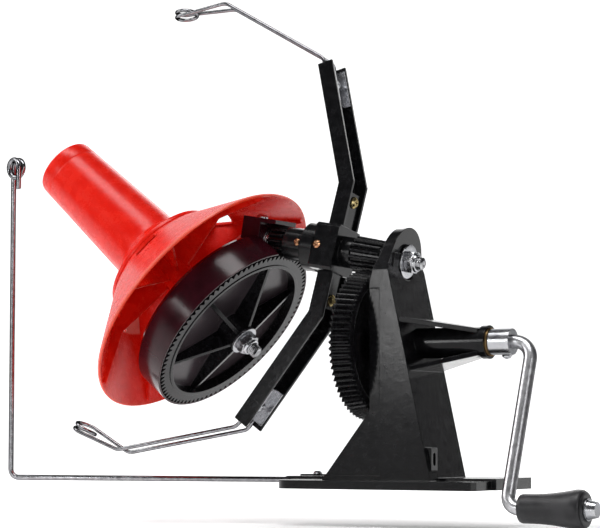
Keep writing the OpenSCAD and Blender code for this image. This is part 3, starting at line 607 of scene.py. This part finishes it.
def bobbin_shell():
    """Profile swung round the bobbin's axis: a closed tube with fine turned rings, a short flare and a
    grooved cone, then back along the inside. Four openings are left out of the cone's two skins, and
    their edges are closed by walls between the skins."""
    cols, quarter = 168, 42
    pitch, groove = 2.1, 0.45
    span = 10
    end, tube_r, base_r, rim = TUBE_END, TUBE_R, TUBE_BASE_R, FLANGE_R
    s = np.arange(end + 14, TUBE_MEETS_FLARE - 1, 1.1)
    share = (s - end) / (TUBE_MEETS_FLARE - end)
    tube = np.stack([s, tube_r + (base_r - tube_r) * share - 0.09 * (np.arange(len(s)) % 2)], -1)
    tube = np.concatenate([[(end, 0), (end, tube_r - 5)], arc((end + 1.5, tube_r - 1.5), 1.5, 180, 90, 6),
                           [(end + 11.6, tube_r + 0.55), (end + 12.2, tube_r + 0.3)], tube])
    flare_a = np.radians(np.linspace(0, 56, 9))
    flare = np.stack([TUBE_MEETS_FLARE + 1.9 / 14 * np.degrees(flare_a),
                      base_r + 1.7 * (1 - np.cos(flare_a))], -1)
    r = np.arange(34.0, rim - 0.4, pitch / 3)
    clear = np.all([np.abs(r - edge) > 0.2 for edge in OPENING_R], 0)
    r = np.sort(np.concatenate([r[clear], OPENING_R]))
    wave = groove * np.abs(2 * ((r / pitch) % 1) - 1)
    front = np.stack([flange_s(r) + wave, r], -1)
    lip = np.array([(flange_s(rim) + 0.2, rim - 0.25), (flange_s(rim) + 0.6, rim), (flange_s(rim) + 2.2, rim),
                    (flange_s(rim) + 2.6, rim - 0.5), (flange_s(rim) + 2.6, rim - 1.2)])
    back = np.stack([flange_s(r) + FLANGE_T, r], -1)[::-1]
    inner = np.array([(43, 29.6), (TUBE_MEETS_FLARE, base_r - 2.6), (end + 3, tube_r - 2.6), (end + 3, 0)])
    profile = np.concatenate([tube, flare, front, lip, back, inner])
    first = len(tube) + len(flare)
    count = len(r)
    start = math.radians(OPENING_ANGLE) - TAU * (span / 2) / cols
    points, faces = turned_part(profile, cols, start=start)
    low = int(np.searchsorted(r, OPENING_R[0] - 1e-6))
    high = int(np.searchsorted(r, OPENING_R[1] - 1e-6))
    row, col = np.divmod(np.arange(len(faces)), cols)
    in_span = (col % quarter) < span
    mirror = first + count + len(lip)
    in_front = (row >= first + low) & (row < first + high)
    in_back = (row >= mirror + count - 1 - high) & (row < mirror + count - 1 - low)
    faces = faces[~(in_span & (in_front | in_back))]

    def front_at(i, j): return (first + i) * cols + j % cols
    def back_at(i, j): return (mirror + count - 1 - i) * cols + j % cols

    walls = []
    for k in range(4):
        j = k * quarter + np.arange(span)
        for i in (low, high):
            walls.append(np.stack([front_at(i, j), front_at(i, j + 1), back_at(i, j + 1), back_at(i, j)], -1))
        i = np.arange(low, high)
        for j in (k * quarter, k * quarter + span):
            walls.append(np.stack([front_at(i, j), front_at(i + 1, j), back_at(i + 1, j), back_at(i, j)], -1))
    return points, np.concatenate([faces] + walls)


def bobbin_rib(angle):
    """A fin between the boss and the flange: at each radius, an arch-topped section as wide as the rib."""
    first, tallest, last = BOSS_R - 1, 64, FLANGE_R - 4
    r = np.linspace(first, last, 40)
    low = np.where(r < PLATE_R - 1, PLATE_S + 2.1, flange_s(r) + 1.6)
    top = np.interp(r, [first, tallest, last], [82, flange_s(tallest) + 13, flange_s(last) + 6])
    a = np.linspace(0, math.pi, 9)
    side = np.concatenate([1.1 * np.cos(a), [-1.5, 1.5]])
    lift = np.concatenate([np.sin(a) * 1.1 - 1.1, [0, 0]])
    upper = np.concatenate([np.ones(9), [0, 0]])
    s = low[:, None] * (1 - upper) + top[:, None] * upper + lift
    points = np.stack([np.repeat(r[:, None], 11, 1), np.repeat(side[None], 40, 0), s], -1)
    first_cap, last_cap = (end.mean(1, keepdims=True).repeat(11, 1) for end in (points[:1], points[-1:]))
    points = np.concatenate([first_cap, points, last_cap])
    c, n = math.cos(math.radians(angle)), math.sin(math.radians(angle))
    turn = np.array([[c, -n, 0], [n, c, 0], [0, 0, 1]])
    return grid_part(points @ turn.T)


def red_bobbin():
    """The grooved shell, its inner boss and plate, and the ribs behind the flange, as one moulding."""
    boss = turned_part(ring_profile(7, BOSS_R, PLATE_S, BOSS_END, 0.5), 48, loop=True)
    plate = turned_part(ring_profile(11, PLATE_R, PLATE_S, PLATE_S + PLATE_T, 0.4), 96, loop=True)
    ribs = [bobbin_rib(k * 360 / RIB_COUNT + RIB_ANGLE) for k in range(RIB_COUNT)]
    parts = [(on_bobbin(p), f) for p, f in [bobbin_shell(), boss, plate] + ribs]
    return make("red_bobbin", parts, "bobbin", ["bobbin_cone"], RED, 30)


red_bobbin()


# ---- Grip ----
def grip_barrel():
    """A turned barrel: small shoulder, a slow waist, a swollen end with a rounded edge and a recess."""
    k = np.linspace(0, 1, 22)
    x0, x1 = GRIP_X, GRIP_X + GRIP_LEN
    waist = np.stack([x0 + 2 + (GRIP_LEN - 9) * k, 10.5 + 3.7 * k - 1.1 * np.sin(np.pi * k)], -1)
    profile = np.concatenate([
        [(x0, BORE_R), (x0, 8.8)], arc((x0 + 0.9, 9.2), 0.9, 180, 110, 5), [(x0 + 1.4, 10.35)], waist,
        arc((x1 - 3.6, 11.4), 2.7, 85, 8, 9), [(x1 - 0.6, 12.6), (x1, 11.4), (x1, 8.4), (x1 - 0.2, 7.9),
                                              (x1 - 0.2, BORE_R)]])
    points, faces = turned_part(profile, 72, loop=True)
    return make("grip_barrel", [(on_crank_turned(points + np.array([THROW, 0, 0])), faces)], "grip", ["grip"],
                GRIP_BLACK, 40)


grip_barrel()


# ---- Studio: floor, lights and camera ----
def studio_floor():
    """A sweep: level in front, then rising in a quarter circle to a wall far behind. It glows white from
    behind the winder on, and is left to the lights in front of it."""
    level = cad_box[0][2] / MM - 2
    a = np.radians(np.linspace(0, 90, 13))
    run = np.concatenate([[-9000], 5000 + 2500 * np.sin(a), [7500]])
    lift = np.concatenate([[0], 2500 * (1 - np.cos(a)), [9000]]) + level
    across = np.linspace(-9000, 9000, 3)
    points = np.stack([np.repeat(across[None], len(run), 0), np.repeat(run[:, None], 3, 1),
                       np.repeat(lift[:, None], 3, 1)], -1)
    turn = Matrix.Rotation(math.radians(30), 3, "Z")
    points = points @ np.array(turn).T
    r = Recipe("studio_white")
    x, y, z = r.axes(r.place())
    behind = r.step(y * math.cos(math.radians(30)) - x * math.sin(math.radians(30)), -0.3, 0.5)
    colour = r.blend(r.noise(r.place(), 1.5, 2) * 0.04, (0.86, 0.86, 0.86), (0.80, 0.80, 0.80))
    glow = r.blend(behind, (0.02, 0.02, 0.02), (1.0, 1.0, 1.0))
    r.finish(Base_Color=colour, Roughness=0.9, Emission_Color=glow, Emission_Strength=0.90)
    floor = make("studio_floor", [grid_part(points, wrap_cols=False)], None, finish=r.material)


studio_floor()


def softbox(name, place, aim, size, power):
    """A rectangular light, size metres wide and high, at place and facing aim."""
    light = bpy.data.lights.new(name, "AREA")
    light.shape, light.energy = "RECTANGLE", power
    light.size, light.size_y = size
    lamp = bpy.data.objects.new(name, light)
    lamp.location = place
    lamp.rotation_euler = (Vector(aim) - Vector(place)).to_track_quat("-Z", "Y").to_euler()
    bpy.context.scene.collection.objects.link(lamp)


CENTRE = (-0.08, 0, 0.17)
softbox("key_left", (-1.6, -0.7, 1.3), CENTRE, (1.0, 1.3), 16)
softbox("top", (0.0, -0.5, 1.8), CENTRE, (1.3, 0.6), 17)
softbox("fill_right", (1.7, -0.9, 0.5), CENTRE, (0.3, 1.3), 6)
softbox("glint_left", (-0.65, -1.35, 0.33), CENTRE, (0.10, 0.40), 1.6)
softbox("low_front", (0.1, -1.9, -0.02), CENTRE, (1.2, 0.25), 2.5)
softbox("rim_back", (-0.3, 1.5, 0.9), CENTRE, (1.4, 0.7), 5)

world = bpy.data.worlds.new("studio_air")
world.use_nodes = True
world.node_tree.nodes["Background"].inputs[0].default_value = (0.94, 0.95, 1.0, 1)
world.node_tree.nodes["Background"].inputs[1].default_value = 0.05
bpy.context.scene.world = world
bpy.context.scene.view_settings.view_transform = "Standard"

# The camera stands low, in front and to the right, and looks slightly up
VIEW_AZIMUTH, VIEW_RISE, VIEW_DISTANCE = 29.86, 4.27, 1.747
FOCAL_IN_FRAMES = 2243 / 600
look = Vector((-math.sin(math.radians(VIEW_AZIMUTH)) * math.cos(math.radians(VIEW_RISE)),
               math.cos(math.radians(VIEW_AZIMUTH)) * math.cos(math.radians(VIEW_RISE)),
               math.sin(math.radians(VIEW_RISE))))
target = Vector((-0.0875, 0, 0.1730))
lens = bpy.data.cameras.new("view_camera")
lens.sensor_width = 36
lens.lens = 36 * FOCAL_IN_FRAMES
lens.clip_end = 50
camera = bpy.data.objects.new("view_camera", lens)
camera.location = target - look * VIEW_DISTANCE
camera.rotation_euler = look.to_track_quat("-Z", "Y").to_euler()
bpy.context.scene.collection.objects.link(camera)
bpy.context.scene.camera = camera
